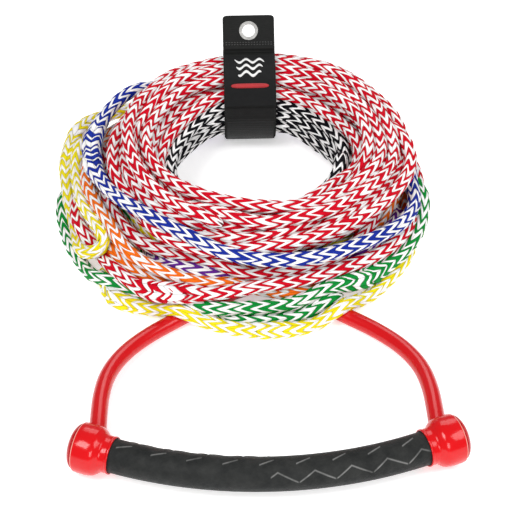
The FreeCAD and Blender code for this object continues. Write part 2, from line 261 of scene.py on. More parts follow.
def braid(name, points, swell, twist, material):
    """A braided rope: rows of vertices that zigzag round it, so that every yarn float is a ridge.

    Where the rope swells, as at a splice, its floats are shorter and steeper.
    """
    distance = along(points)
    length = distance[-1]
    _, normals, sides = frames(points)
    stretch = 1 + SPLICE_SHORTER * (swell - 1)
    wound_up = np.concatenate([[0.0], np.cumsum(np.diff(distance) * 0.5 * (stretch[1:] + stretch[:-1]))])
    rows = int(wound_up[-1] / FLOAT_PITCH) * ROWS_PER_FLOAT
    pitch = wound_up[-1] / rows
    u = np.arange(AROUND)
    rise = np.array(COLUMN_RISE)[u % STEPS_PER_COLUMN]
    odd = (u // STEPS_PER_COLUMN) % 2 == 1
    rise = np.where(odd, 1 - rise, rise)
    row = np.arange(rows + 1)
    w = row[:, None] * pitch + ZIGZAG * (rise[None, :] - 0.5)
    float_shift = RNG.normal(0, UNEVEN, (rows // ROWS_PER_FLOAT + 1, COLUMNS))
    muddle = np.interp(row * pitch, wound_up, np.clip((swell - 1) / 0.5, 0, 1))[:, None]
    w += float_shift[row // ROWS_PER_FLOAT][:, u // STEPS_PER_COLUMN] * (1 + SPLICE_MUDDLE * muddle)
    lumps = RNG.normal(0, SPLICE_LUMPS, (rows // ROWS_PER_FLOAT + 1, COLUMNS))
    s = np.interp(np.clip(w, 0, wound_up[-1]), wound_up, distance)
    angle = 2 * math.pi * u[None, :] / AROUND + twist * s / length
    row_lift = np.array(ROW_HEIGHT)[row % ROWS_PER_FLOAT]
    lift = np.outer(row_lift, np.array(COLUMN_HEIGHT)[u % STEPS_PER_COLUMN])
    radius = ROPE_RADIUS * np.interp(s, distance, swell) - RELIEF + RELIEF * lift
    radius += muddle * lumps[row // ROWS_PER_FLOAT][:, u // STEPS_PER_COLUMN]
    radius = np.minimum(radius, SPLICE_MOST)
    radius *= 0.3 + 0.7 * np.sqrt(np.clip(np.minimum(s, length - s) / TAPER, 0, 1))

    def at(values):
        return np.stack([np.interp(s, distance, values[:, k]) for k in range(3)], axis=-1)

    across = np.cos(angle)[..., None] * at(normals) + np.sin(angle)[..., None] * at(sides)
    return tube(name, at(points) + radius[..., None] * across, np.arange(AROUND + 1) / STEPS_PER_COLUMN,
                np.arange(rows + 1) / (2 * ROWS_PER_FLOAT), material, "rope")


def yarn_material(name, colour, share):
    """Coloured and white yarn floats in turn, each a bundle of fine glossy filaments, darkened towards their
    edges by painted shade.
    """
    n = Nodes(name)
    vector, u, v = n.uv("rope")
    dyed_share = n.maths("COMPARE", n.maths("FRACT", v), 0.25, share)
    to_row_edge = n.from_middle(n.maths("MULTIPLY", v, 2.0))
    to_column_edge = n.from_middle(u)
    tone = n.noise(70.0, 3.0, 0.6)
    dyed = n.mix(tone, tuple(c * 0.75 for c in colour), colour)
    white = n.ramp(tone, (0.25, (0.80, 0.79, 0.78)), (0.65, (0.97, 0.97, 0.97)))
    plain = n.mix(dyed_share, white, dyed)
    # painted shade: each float is darkened towards its row and column edges, in the valleys between floats
    row_edge_shade = n.ramp(to_row_edge, (0.41, (1, 1, 1)), (0.50, (0.40, 0.38, 0.38)))
    column_edge_shade = n.ramp(to_column_edge, (0.42, (1, 1, 1)), (0.50, (0.52, 0.50, 0.50)))
    shaded = n.times(n.times(plain, row_edge_shade), column_edge_shade)
    filament = n.noise(1.0, 2.0, 0.6, n.scaled(vector, (1.6, 30.0, 1.0)))
    normal = n.bump(filament, 0.6, 0.5 * MM)
    return n.finish(shaded, 0.6, normal, Specular_IOR_Level=0.08)


# ---- the coil ----

COIL_CENTRE = np.array([0.0, 0.23625, 0.0])
POINT_SPACING = 10 * MM     # between the points that are moved apart
LINE_STEP = 3.5 * MM        # between the points of a drawn line
BLUE_ROOM = 13.0            # mm that the outer upper turns keep back where the blue section lies
STATIONS_PER_TURN = 24
RNG = np.random.default_rng(7)

# Places in the bundle's section that each line passes through turn by turn: distance from the axis, height.
RED_SLOTS = [(146.5, 47.0), (97.1, 56.2), (110.7, 56.2), (124.3, 56.2), (137.9, 56.2), (144.7, 68.0),
             (131.1, 68.0), (117.5, 68.0), (103.9, 68.0), (90.3, 68.0), (103.9, 79.8), (117.5, 79.8),
             (131.1, 79.8)]
BLACK_SLOTS = [(103.9, 20.8), (90.3, 22.8), (84.5, 34.6), (97.1, 33.6), (110.7, 32.6), (103.9, 44.4),
               (90.3, 46.4), (84.5, 58.2)]

# Lines seen on the outside, by listed stations: degrees, distance from the axis, height and, where a
# splice makes the line thicker, by how much.
YELLOW_ROUTE = [
    (160, 180, 37), (168, 177, 36), (177, 172, 34), (187, 167, 34), (197, 163, 36), (206, 162, 38),
    (212, 164, 40), (216, 169, 39), (215, 176, 35), (211, 181, 28), (206, 183, 19), (201, 181, 13),
    (196, 179, 12), (190, 177, 14), (184, 179, 16), (178, 182, 17), (171, 186, 19, 1.1),
    (165, 190, 21, 1.35), (160, 193, 24, 1.1), (156, 195, 26, 1.35), (151, 194, 28, 1.35),
    (146, 188, 29, 1.1), (138, 176, 29),
    (125, 158, 29), (100, 136, 32), (60, 124, 33), *[(angle, 124, 33) for angle in range(20, -221, -40)],
    (-260, 126, 32), (-300, 132, 30),
    (-330, 138, 28), (-352, 146, 26), (-368, 153, 25), (-380, 156, 23), (-387, 161, 18), (-395, 165, 13),
    (-405, 167, 13), (-414, 171, 11), (-423, 176, 9), (-432, 180, 7), (-440, 180, 7), (-447, 181, 8, 1.3),
    (-454, 179, 7, 1.1), (-461, 176, 7), (-469, 174, 7), (-476, 174, 7), (-484, 177, 7), (-490, 184, 8, 1.3),
    (-495, 187, 9, 1.4), (-500, 184, 11, 1.1), (-506, 176, 13),
]
GREEN_ROUTE = [
    (174, 184, 12), (181, 187, 9), (190, 184, 8), (198, 184, 8), (205, 184, 7), (212, 185, 8),
    (219, 185, 11), (226, 181, 16), (233, 176, 18), (240, 172, 16), (247, 168, 15), (254, 166, 16),
    (260, 163, 18), (267, 162, 19), (274, 162, 20), (281, 161, 20), (288, 159, 21), (294, 157, 23, 1.1),
    (300, 159, 22, 1.5), (307, 160, 23, 1.55), (312, 162, 23, 1.3), (319, 164, 24), (328, 166, 27),
    (336, 161, 32), (346, 154, 36), (362, 144, 41), (390, 132, 44), (430, 131, 44), (470, 131, 44),
    (505, 131, 42), (535, 130, 36), (555, 129, 28), (572, 131, 18), (586, 142, 10), (598, 156, 7),
    (608, 164, 7), (618, 167, 7), (628, 167, 7), (638, 166, 7), (648, 164, 7), (658, 158, 9),
]
BLUE_ROUTE = [
    (96, 124, 44), (110, 130, 48), (124, 143, 56), (137, 158, 64), (146, 159, 64), (154, 160, 61),
    (161, 160, 59, 1.25), (167, 159, 57, 1.55), (175, 157, 55, 1.58), (182, 154, 57, 1.5),
    (188, 150, 60, 1.2), (196, 147, 62), (203, 143, 65), (212, 139, 68), (228, 135, 71), (239, 136, 71),
    (248, 140, 69), (257, 145, 67), (266, 148, 65), (274, 149, 64), (282, 150, 62), (291, 150, 60),
    (300, 150, 58), (311, 151, 55), (322, 155, 51), (331, 157, 47), (342, 154, 44), (358, 146, 44),
    (380, 138, 45), (400, 134, 45), (425, 134, 45),
]
LEAD_ROUTE = [
    (-90, 104, 9), (-72, 112, 10), (-50, 124, 13), (-25, 138, 18), (0, 145, 21), (30, 147, 21),
    (60, 147, 21), (90, 147, 21), (120, 147, 22), (145, 150, 23), (163, 157, 23), (177, 165, 23),
    (187, 172, 25), (195, 176, 26), (202, 173, 26), (209, 170, 25), (217, 172, 26), (225, 178, 28),
    (231, 180, 28), (234, 180, 29, 1.35), (237, 179, 30, 1.58), (246, 173, 31, 1.58), (249, 169, 31, 1.3),
    (252, 163, 31), (258, 157, 32), (266, 152, 34), (274, 149, 35), (283, 148, 35), (292, 149, 36),
    (301, 151, 37), (309, 154, 37), (319, 157, 37), (328, 158, 36), (340, 156, 35), (356, 150, 34),
    (376, 146, 33),
]
ORANGE_ROUTE = [
    (140, 144, 38), (160, 154, 42), (174, 161, 44), (186, 161, 44), (197, 158, 45), (208, 157, 45),
    (218, 161, 44), (226, 163, 42), (233, 162, 40), (240, 157, 36), (248, 149, 32), (258, 142, 28),
    (270, 141, 26), (280, 148, 22), (288, 151, 21), (297, 149, 22), (312, 142, 25), (330, 140, 26),
    (360, 138, 27), (400, 138, 28), (440, 138, 30), (480, 138, 32), (510, 140, 33), (530, 147, 32),
    (546, 158, 32), (557, 165, 31), (568, 166, 30), (578, 168, 30), (588, 166, 30), (596, 160, 28),
    (606, 150, 26), (618, 140, 26), (640, 136, 28), (680, 136, 30), (720, 136, 30), (760, 136, 29),
    (800, 136, 28), (840, 136, 28), (880, 136, 28), (920, 136, 28), (950, 136, 28),
]
VIOLET_ROUTE = [
    (90, 118, 9), (130, 118, 9), (170, 118, 9), (205, 122, 12), (225, 135, 24), (238, 146, 37),
    (248, 147, 39), (262, 134, 26), (285, 122, 12), (300, 130, 22), (313, 145, 40), (325, 148, 42),
    (338, 142, 30), (360, 126, 12), (400, 119, 9), (440, 119, 9), (490, 119, 9),
]
SHORT_ROUTE = [(angle, 117.5, 21) for angle in (200, 240, 280, 320, 360, 400, 424)]


def wound(slots, first_angle, turns, reach):
    """Stations through the bundle's slots turn by turn, each wandering a little from its slot."""
    count = int(turns * STATIONS_PER_TURN)
    turn = np.arange(count) / STATIONS_PER_TURN
    places = np.array(slots, float)
    index = np.minimum(turn.astype(int), len(slots) - 1)
    after = np.minimum(index + 1, len(slots) - 1)
    starts = RNG.uniform(0.45, 0.8, len(slots))[index]
    change = np.clip((turn - index - starts) / 0.2, 0, 1)
    change = (change * change * (3 - 2 * change))[:, None]
    section = places[index] * (1 - change) + places[after] * change
    wander = RNG.normal(0, reach, (count // 4 + 2, 2))
    for k in range(2):
        section[:, k] += np.interp(np.arange(count), np.arange(len(wander)) * 4, wander[:, k])
    degrees = np.mod(first_angle + 360 * turn, 360)
    beside_blue = np.clip((degrees - 124) / 26, 0, 1) * np.clip((350 - degrees) / 30, 0, 1)
    outer = np.clip((section[:, 0] - 118) / 12, 0, 1) * np.clip((section[:, 1] - 42) / 8, 0, 1)
    section[:, 0] -= BLUE_ROOM * beside_blue * outer
    return [(first_angle + 360 * t, r, z) for t, (r, z) in zip(turn, section)]


def placed(route):
    """A line's points and swell from its stations, smooth in between."""
    rows = np.array([(*station, 1.0)[:4] for station in route], float)
    t = along(np.stack([rows[:, 0] * 2.5, rows[:, 1], rows[:, 2]], axis=1))
    dense = np.linspace(0, t[-1], int(t[-1] / 4))
    angle, r, z, swell = (np.interp(dense, t, rows[:, k]) for k in range(4))
    angle = np.radians(angle)
    points = np.stack([r * MM * np.cos(angle), r * MM * np.sin(angle), z * MM], axis=1) + COIL_CENTRE
    even = resampled(np.column_stack([points, swell]), POINT_SPACING)
    even[:, :3] = smoothed(even[:, :3], 4)
    return even


HELD = 0.3                  # how freely the lines laid along listed routes move, beside the wound ones
LINES = {
    "red": ("coil_red", wound(RED_SLOTS, 60, 12.6, 5.5)),
    "black": ("coil_black", wound(BLACK_SLOTS, 10, 8.0, 2.5)),
    "orange": ("coil_orange", ORANGE_ROUTE),
    "yellow": ("coil_yellow", YELLOW_ROUTE),
    "green": ("coil_green", GREEN_ROUTE),
    "blue": ("coil_blue", BLUE_ROUTE),
    "violet": ("coil_violet", VIOLET_ROUTE),
    "short": ("coil_red_short", SHORT_ROUTE),
    "lead": ("coil_red_lead", LEAD_ROUTE),
}
YARNS = {
    "red": (0.66, 0.001, 0.016), "blue": (0.010, 0.030, 0.34), "black": (0.003, 0.003, 0.006),
    "orange": (0.95, 0.17, 0.008), "yellow": (0.92, 0.78, 0.010), "green": (0.003, 0.27, 0.038),
    "violet": (0.13, 0.02, 0.30), "short": (0.66, 0.001, 0.016), "lead": (0.66, 0.001, 0.016),
}
DYED_SHARE = 0.27           # half the part of each pair of floats that is dyed
BLACK_SHARE = 0.31
RELAX_ROUNDS = 260
PAIR_ROUNDS = 8             # rounds between two searches for stretches that are close
NEAR = 13 * MM
HOME_PULL = (0.09, 0.025)   # how strongly lines laid along listed routes and wound lines return to their stations
PUSH = 0.84
BEND = 0.35
STRETCH = 0.25
LIFT = 0.6
FLOOR_CLEAR = 0.5 * MM      # uneven floats stand out this much
CONTACT = 0.97              # yarn gives a little where two stretches press on each other


def relaxed(lines, obstacles):
    """Moves the points of all lines apart until no two stretches lie in each other."""
    points = np.concatenate([line[:, :3] for line in lines])
    radii = ROPE_RADIUS * np.concatenate([line[:, 3] for line in lines])
    owner = np.repeat(np.arange(len(lines)), [len(line) for line in lines])
    home = points.copy()
    ease = np.array([1.0 if name in ("red", "black") else HELD for name in LINES])[owner]
    pull = np.where(ease < 1, *HOME_PULL)[:, None]
    middle = np.where(owner[:-2] == owner[2:])[0] + 1
    first = np.where(owner[:-1] == owner[1:])[0]
    spans = np.linalg.norm(points[first + 1] - points[first], axis=1)
    for turn in range(RELAX_ROUNDS):
        if turn % PAIR_ROUNDS == 0:
            i, j = close_pairs(points, radii, owner)
        apart = points[i] - points[j]
        distance = np.linalg.norm(apart, axis=1) + 1e-9
        short = CONTACT * (radii[i] + radii[j]) - distance
        hit = short > 0
        push = apart[hit] * (PUSH * short[hit] / distance[hit] / (ease[i[hit]] + ease[j[hit]]))[:, None]
        np.add.at(points, i[hit], push * ease[i[hit]][:, None])
        np.add.at(points, j[hit], -push * ease[j[hit]][:, None])
        points += pull * (home - points)
        bend = np.zeros_like(points)
        bend[middle] = 0.5 * (points[middle - 1] + points[middle + 1]) - points[middle]
        points[middle] += BEND * (bend[middle] - 0.5 * (bend[middle - 1] + bend[middle + 1]))
        step = points[first + 1] - points[first]
        long = np.linalg.norm(step, axis=1)
        fix = step * (STRETCH * (long - spans) / long)[:, None]
        np.add.at(points, first, fix)
        np.add.at(points, first + 1, -fix)
        for centre, reach in obstacles:
            gap = np.linalg.norm(points - centre, axis=1)
            near = gap < radii + reach
            points[near, 2] += LIFT * (radii[near] + reach - gap[near])
        keep_in_keeper(points, radii)
        points[:, 2] = np.maximum(points[:, 2], radii + FLOOR_CLEAR)
    return np.split(points, np.cumsum([len(line) for line in lines])[:-1])


def close_pairs(points, radii, owner):
    """Every pair of points near enough to touch soon, apart from neighbours on one line."""
    tree = KDTree(len(points))
    for k, p in enumerate(points):
        tree.insert(p, k)
    tree.balance()
    pairs = [(k, other) for k, p in enumerate(points)
             for _, other, _ in tree.find_range(p, radii[k] + NEAR)
             if other > k and not (owner[other] == owner[k] and other - k < 4)]
    return np.array(pairs).T


# The webbing loop's inner face, as distance from the coil's axis and height.
LOOP_INNER = 73.5 * MM
LOOP_OUTER = 160.3 * MM
LOOP_LOW = 1.9 * MM
LOOP_HIGH = 90.5 * MM
LOOP_CORNER = 43 * MM
LOWER_CORNER = 51 * MM      # the inner lower corner, pulled rounder by the line
KEEPER_X = -3.6 * MM
WEBBING_HALF = 25.4 * MM
KEEPER_TURN = math.radians(12.0)
KEEPER_CLEAR = 0.7 * MM
KEEPER_SIDE = 6 * MM        # room kept on each side of the webbing


def keep_in_keeper(points, radii):
    """Holds the stretches that pass through the keeper inside its loop, however far it is turned."""
    flat = points[:, :2] - COIL_CENTRE[:2]
    from_axis = np.linalg.norm(flat, axis=1)
    half = WEBBING_HALF + KEEPER_SIDE
    sweep = KEEPER_TURN + np.arcsin(np.clip(half / np.maximum(from_axis, half), 0, 1))
    index = np.where(np.abs(np.arctan2(flat[:, 0], flat[:, 1])) < sweep)[0]
    r = from_axis[index]
    low = np.array([LOOP_INNER, LOOP_LOW]) + LOOP_CORNER
    high = np.array([LOOP_OUTER, LOOP_HIGH]) - LOOP_CORNER
    nearest = np.sqrt(np.maximum(r * r - half * half, 0))
    u = np.where(r > high[0], r, np.where(nearest < low[0], nearest, low[0]))
    place = np.stack([u, points[index, 2]], axis=1)
    core = np.clip(place, low, high)
    offset = place - core
    distance = np.linalg.norm(offset, axis=1)
    allowed = LOOP_CORNER - KEEPER_CLEAR - radii[index]
    scale = np.minimum(1, allowed / np.maximum(distance, 1e-9))
    held = core + offset * scale[:, None]
    pivot = np.array([LOOP_INNER, LOOP_LOW]) + LOWER_CORNER
    out = held - pivot
    distance = np.linalg.norm(out, axis=1)
    allowed = LOWER_CORNER - KEEPER_CLEAR - radii[index]
    past = (out < 0).all(axis=1) & (distance > allowed)
    held[past] = pivot + out[past] * (allowed / distance)[past][:, None]
    points[index, :2] = COIL_CENTRE[:2] + flat[index] * (1 + (held[:, 0] - u) / r)[:, None]
    points[index, 2] = held[:, 1]


def build_line(obstacles):
    """All the coloured sections of the line, laid in the coil: each one's piece and centreline."""
    made = {}
    starts = [placed(route) for _, route in LINES.values()]
    for (name, (node, _)), start, points in zip(LINES.items(), starts, relaxed(starts, obstacles)):
        line = resampled(spline_points("route_" + name, smoothed(points, 2)), LINE_STEP)
        length = along(line)[-1]
        swell = np.interp(along(line) / length, along(points) / along(points)[-1], start[:, 3])
        yarn = yarn_material("yarn_" + name, YARNS[name], BLACK_SHARE if name == "black" else DYED_SHARE)
        piece = braid("line_" + name, line, swell, length * TWIST, yarn)
        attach(piece, "tow_line")
        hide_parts(node)
        made[name] = piece, line
    return made


UNDER_COIL = 40 * MM        # the sleeves lie below the line past this y
BINDING = [y * MM for y in range(110, 132, 5)]
BINDING_RADIUS = 8 * MM


def bridle_obstacles():
    """Balls along both sleeves and the binding, which the line lies over."""
    balls = []
    for sign in SIDES.values():
        points = resampled(leg_points(sign), 5 * MM)
        balls += [(p, SLEEVE_SKIN) for p in points if p[1] > UNDER_COIL]
    return balls + [(np.array([0, y, BINDING_RADIUS]), BINDING_RADIUS) for y in BINDING]


# ---- shared makers for the handle, bridle and keeper ----


def grid_mesh(name, rings, material, closed_ends=True):
    """A tube whose UV map is the distance around and along it."""
    middle = rings[len(rings) // 2]
    wide = along(np.concatenate([middle, middle[:1]]))
    return tube(name, rings, wide, along(rings.mean(axis=1)), material, closed_ends=closed_ends)


def revolved(profile, segments):
    """Rings about +X from a profile of (along, radius) points."""
    angle = np.linspace(0, 2 * math.pi, segments, endpoint=False)
    profile = np.array(profile, float)
    x = np.repeat(profile[:, 0:1], segments, axis=1)
    y = profile[:, 1:2] * np.cos(angle)
    z = profile[:, 1:2] * np.sin(angle)
    return np.stack([x, y, z], axis=-1) * MM


def rounded_profile(corners, step):
    """A profile with each corner replaced by an arc: corners are (along, radius, arc radius)."""
    points = []
    for k, corner in enumerate(corners):
        place = np.array(corner[:2], float)
        arc = corner[2] if len(corner) > 2 else 0
        if not arc or k in (0, len(corners) - 1):
            points.append(place)
            continue
        before = np.array(corners[k - 1][:2]) - place
        after = np.array(corners[k + 1][:2]) - place
        size = min(arc, 0.49 * np.linalg.norm(before), 0.49 * np.linalg.norm(after))
        start = place + before / np.linalg.norm(before) * size
        end = place + after / np.linalg.norm(after) * size
        for t in np.linspace(0, 1, 6):
            points.append((1 - t) ** 2 * start + 2 * t * (1 - t) * place + t * t * end)
    rows = np.array(points)
    filled = [rows[0]]
    for a, b in zip(rows, rows[1:]):
        parts = max(1, int(np.linalg.norm(b - a) / step))
        filled += [a + (b - a) * (m / parts) for m in range(1, parts + 1)]
    return filled


# ---- the handle ----

GRIP_HALF_CHORD = 126.5 * MM
GRIP_END_ANGLE = math.radians(21.0)
GRIP_END_Y = -96.30 * MM
GRIP_RADIUS = 14.25 * MM
AXIS_HEIGHT = 21 * MM
TREAD_HEIGHT = 0.5 * MM
TREAD_PITCH = 29 * MM
ZIGZAG_REACH = 9 * MM
ZIGZAG_RISE = 0.44          # part of each zigzag that rises
RIB_HALF = 0.45 * MM
RIB_EDGE = 0.35 * MM
DASH_LENGTH = 12 * MM
RIB_ANGLE = math.radians(35)
DASH_ANGLE = math.radians(90)
SIDES = {"right": 1, "left": -1}


def red_plastic(name, depth):
    """Glossy moulded plastic, faintly uneven, with fine scuff marks in its gloss and a painted highlight on
    the outer rim; a depth below 1 darkens it all as painted shade.
    """
    n = Nodes(name)
    flow = n.noise(25.0, 2.0)
    # depth scales the whole colour down; below 1 it is painted shade
    colour = n.mix(flow, (0.52 * depth, 0.001, 0.003), (0.62 * depth, 0.002, 0.005))
    # painted highlight: the cap's outer rim is painted paler
    colour = n.mix(n.attribute("rim_highlight"), colour, (0.80, 0.30, 0.24))
    wear_and_highlight = n.noise(420.0, 4.0, 0.7)
    roughness = n.maths("MULTIPLY_ADD", wear_and_highlight, 0.14, 0.09)
    normal = n.bump(n.noise(90.0, 2.0), 0.15, 0.7 * MM)
    return n.finish(colour, roughness, normal, Specular_IOR_Level=0.36)


def sleeve_plastic():
    """Soft red vinyl tube, a little cloudy."""
    n = Nodes("vinyl_red")
    vector, _, _ = n.uv("surface")
    streak = n.noise(1.0, 3.0, 0.6, n.scaled(vector, (900.0, 18.0, 1.0)))
    colour = n.mix(streak, (0.47, 0.001, 0.003), (0.57, 0.002, 0.005))
    normal = n.bump(streak, 0.10, 0.4 * MM)
    roughness = n.maths("MULTIPLY_ADD", n.noise(160.0), 0.12, 0.14)
    return n.finish(colour, roughness, normal, Specular_IOR_Level=0.36)


def grip_rubber():
    """Charcoal rubber with a leather-like grain, its raised ribs painted paler, unevenly, as a painted
    highlight.
    """
    n = Nodes("tread_rubber")
    grain = n.noise(420.0, 5.0, 0.65)
    patch = n.noise(60.0, 4.0, 0.65)
    plain = n.mix(n.ramp(patch, (0.35, (0.0, 0.0, 0.0)), (0.65, (1.0, 1.0, 1.0))),
                  (0.004, 0.005, 0.005), (0.018, 0.019, 0.018))
    uneven = n.ramp(patch, (0.35, (0.3, 0.3, 0.3)), (0.6, (1, 1, 1)))
    # painted highlight: the raised ribs are painted paler, unevenly
    ridge_highlight = n.maths("MULTIPLY", n.attribute("wear_and_highlight"), uneven)
    colour = n.mix(ridge_highlight, plain, (0.20, 0.20, 0.195))
    roughness = n.maths("MULTIPLY_ADD", grain, 0.3, 0.38)
    normal = n.bump(n.noise(260.0, 6.0, 0.7), 0.8, 0.9 * MM)
    return n.finish(colour, roughness, normal, Specular_IOR_Level=0.2)


def arc_frame(s):
    """Centre, outward direction in plan and heading of the grip's arc, s metres from its middle."""
    radius = GRIP_HALF_CHORD / math.sin(GRIP_END_ANGLE)
    centre_y = GRIP_END_Y + radius * math.cos(GRIP_END_ANGLE)
    angle = s / radius
    outward = np.array([math.sin(angle), -math.cos(angle), 0.0])
    return np.array([0, centre_y, AXIS_HEIGHT]) + radius * outward, outward


def rib_height(distance_off):
    return np.clip((RIB_HALF + RIB_EDGE - np.abs(distance_off)) / (2 * RIB_EDGE), 0, 1)


def tread(s, angle):
    """Height from 0 to 1 of the raised ribs: a zigzag along one side of each half and a row of dashes."""
    middle = RIB_ANGLE if s > 0 else math.pi - RIB_ANGLE
    off = (np.mod(angle - middle + math.pi, 2 * math.pi) - math.pi) * GRIP_RADIUS
    phase = math.fmod(abs(s) / TREAD_PITCH + 0.25, 1.0)
    rising = phase < ZIGZAG_RISE
    part = ZIGZAG_RISE if rising else 1 - ZIGZAG_RISE
    lean = (phase if rising else 1 - phase) / part
    slope = ZIGZAG_REACH / part / TREAD_PITCH
    height = rib_height((off - (lean - 0.5) * ZIGZAG_REACH) / math.hypot(1, slope))
    height = height * min(1, min(phase, 1 - phase) * TREAD_PITCH / (1.2 * MM))
    start = math.fmod(s / TREAD_PITCH + 20.3, 1.0)
    dash = (start - 0.2) * TREAD_PITCH
    for centre in (DASH_ANGLE, -DASH_ANGLE):
        off = (np.mod(angle - centre + math.pi, 2 * math.pi) - math.pi) * GRIP_RADIUS
        if abs(dash) < DASH_LENGTH / 2:
            height = np.maximum(height, rib_height((off - 0.42 * dash) / 1.08))
    return height


def build_grip():
    reach = GRIP_END_ANGLE * GRIP_HALF_CHORD / math.sin(GRIP_END_ANGLE) + 3.5 * MM
    places = np.linspace(-reach, reach, 640)
    angle = np.linspace(0, 2 * math.pi, 168, endpoint=False)
    rings = np.empty((len(places), len(angle), 3))
    ribs = np.empty((len(places), len(angle)))
    for k, s in enumerate(places):
        centre, outward = arc_frame(s)
        end = min(1, max(0, (reach - abs(s)) / (6 * MM) - 0.5))
        ribs[k] = tread(s, angle) * end
        radius = GRIP_RADIUS - 0.1 * MM + TREAD_HEIGHT * ribs[k]
        edge = min(1, (reach - abs(s)) / (1.2 * MM))
        radius = radius * (0.94 + 0.06 * math.sqrt(edge))
        rings[k] = (centre + radius[:, None] * (np.cos(angle)[:, None] * outward
                                                 + np.sin(angle)[:, None] * np.array([0, 0, 1.0])))
    grip = grid_mesh("grip_tread", rings, grip_rubber())
    # each vertex's rib height, which places the painted highlight on the ribs
    wear_and_highlight = grip.data.attributes.new("wear_and_highlight", "FLOAT", "POINT")
    wear_and_highlight.data.foreach_set("value", ribs.ravel())
    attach(grip, "handle")
    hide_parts("grip_sleeve")


def at_handle_end(piece, side):
    """Moves a piece turned about +X from the grip's end onto the handle's end."""
    sign = SIDES[side]
    angle = GRIP_END_ANGLE if side == "right" else math.pi - GRIP_END_ANGLE
    cos, sin = math.cos(angle), math.sin(angle)
    for vertex in piece.data.vertices:
        x, y, z = vertex.co
        vertex.co = (sign * GRIP_HALF_CHORD + x * cos - y * sin, GRIP_END_Y + x * sin + y * cos,
                     AXIS_HEIGHT + z)
    piece.data.update()


CAP_PROFILE = [
    (2.0, 11.3), (2.0, 14.2), (-0.6, 14.6, 0.5), (-0.6, 15.9, 0.7), (0.8, 15.9, 0.5), (1.6, 15.4, 0.6),
    (6.6, 15.4, 1.6), (8.8, 17.5, 2.2), (12.0, 20.0, 3.0), (17.0, 21.0, 4.0), (25.0, 21.0, 3.5),
    (28.4, 20.7, 0.8), (29.3, 20.0, 0.3), (29.0, 19.0, 0.3), (28.2, 18.8, 0.3), (28.2, 11.3),
]
PLUG_PROFILE = [
    (27.6, 0.0), (27.6, 18.4, 0.3), (29.9, 18.6, 0.3), (30.6, 19.2, 0.7), (32.8, 17.6, 2.2),
    (34.6, 14.4, 2.5), (35.9, 9.0, 2.5), (36.4, 4.0, 2.0), (36.4, 1.4, 0.6), (36.0, 0.9, 0.3), (35.9, 0.0),
]
HIGHLIT_RIM = (28.3, 19.8)          # the painted highlight on the cap's outer rim begins this far along, outside this radius
PIVOT_X = 139.5 * MM
BOSS_Y = -76.5 * MM
BOSS_PROFILE = [(-4.0, 6.0), (-4.0, 10.2, 1.2), (2.6, 9.6, 1.6), (4.4, 8.3, 0.9), (4.6, 6.0)]


def build_caps():
    plastic = red_plastic("gloss_red", 1.0)
    # painted shade: the plug gets the same red, painted darker
    shaded_plastic = red_plastic("gloss_red_plug", 0.72)
    for side, sign in SIDES.items():
        cap = grid_mesh("cap_" + side, revolved(rounded_profile(CAP_PROFILE, 0.8), 144), plastic, False)
        plug = grid_mesh("plug_" + side, revolved(rounded_profile(PLUG_PROFILE, 0.8), 120), shaded_plastic, False)
        # marks the cap's outer rim, which gets the painted highlight
        rim_highlight = cap.data.attributes.new("rim_highlight", "FLOAT", "POINT")
        for k, vertex in enumerate(cap.data.vertices):
            x, y, z = vertex.co
            rim_highlight.data[k].value = float(x > HIGHLIT_RIM[0] * MM and math.hypot(y, z) > HIGHLIT_RIM[1] * MM)
        for piece, node in ((cap, "end_cap_" + side), (plug, "end_plug_" + side)):
            at_handle_end(piece, side)
            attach(piece, "handle")
            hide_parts(node)
        boss = grid_mesh("boss_" + side, revolved(rounded_profile(BOSS_PROFILE, 0.6), 72), plastic, False)
        for vertex in boss.data.vertices:
            x, y, z = vertex.co
            vertex.co = (sign * PIVOT_X + y, BOSS_Y + x, AXIS_HEIGHT + z)
        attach(boss, "handle")


# ---- the bridle ----

# The leg's route on the right, from inside the cap through the pivot to the binding under the coil.
BRIDLE_ROUTE = [
    (0.1395, -0.0850, 0.0210), (0.1395, -0.0710, 0.0210), (0.1395, -0.0570, 0.0210),
    (0.1390, -0.0290, 0.0193), (0.1345, 0.0010, 0.0155), (0.1215, 0.0290, 0.0115),
    (0.1010, 0.0530, 0.0086), (0.0770, 0.0725, 0.0070), (0.0515, 0.0900, 0.0066),
    (0.0260, 0.1060, 0.0066),
]
SLEEVE_SKIN = 7.2 * MM      # as drawn, with the rope inside pressing it out


def spline_points(name, route):
    """Points along a NURBS curve through a route."""
    data = bpy.data.curves.new(name, "CURVE")
    data.dimensions = "3D"
    spline = data.splines.new("NURBS")
    spline.points.add(len(route) - 1)
    for target, place in zip(spline.points, route):
        target.co = (*place, 1)
    spline.order_u = 3
    spline.use_endpoint_u = True
    spline.resolution_u = 24
    carrier = bpy.data.objects.new(name, data)
    mesh = bpy.data.meshes.new_from_object(carrier)
    points = np.array([tuple(vertex.co) for vertex in mesh.vertices])
    bpy.data.objects.remove(carrier)
    bpy.data.curves.remove(data)
    bpy.data.meshes.remove(mesh)
    return points


def leg_points(sign):
    return spline_points("leg_route", [(sign * x, y, z) for x, y, z in BRIDLE_ROUTE])


def build_bridle():
    vinyl = sleeve_plastic()
    for side, sign in SIDES.items():
        line = resampled(leg_points(sign), 1.6 * MM)
        _, normals, across = frames(line)
        angle = np.linspace(0, 2 * math.pi, 40, endpoint=False)
        line[:, 2] = np.maximum(line[:, 2], SLEEVE_SKIN + 0.1 * MM)
        rings = line[:, None, :] + SLEEVE_SKIN * (np.cos(angle)[None, :, None] * normals[:, None, :]
                                                    + np.sin(angle)[None, :, None] * across[:, None, :])
        sleeve = grid_mesh("bridle_tube_" + side, rings, vinyl)
        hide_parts("bridle_sleeve_" + side, "sleeve_stub_" + side)
        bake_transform(sleeve)


# ---- the keeper ----

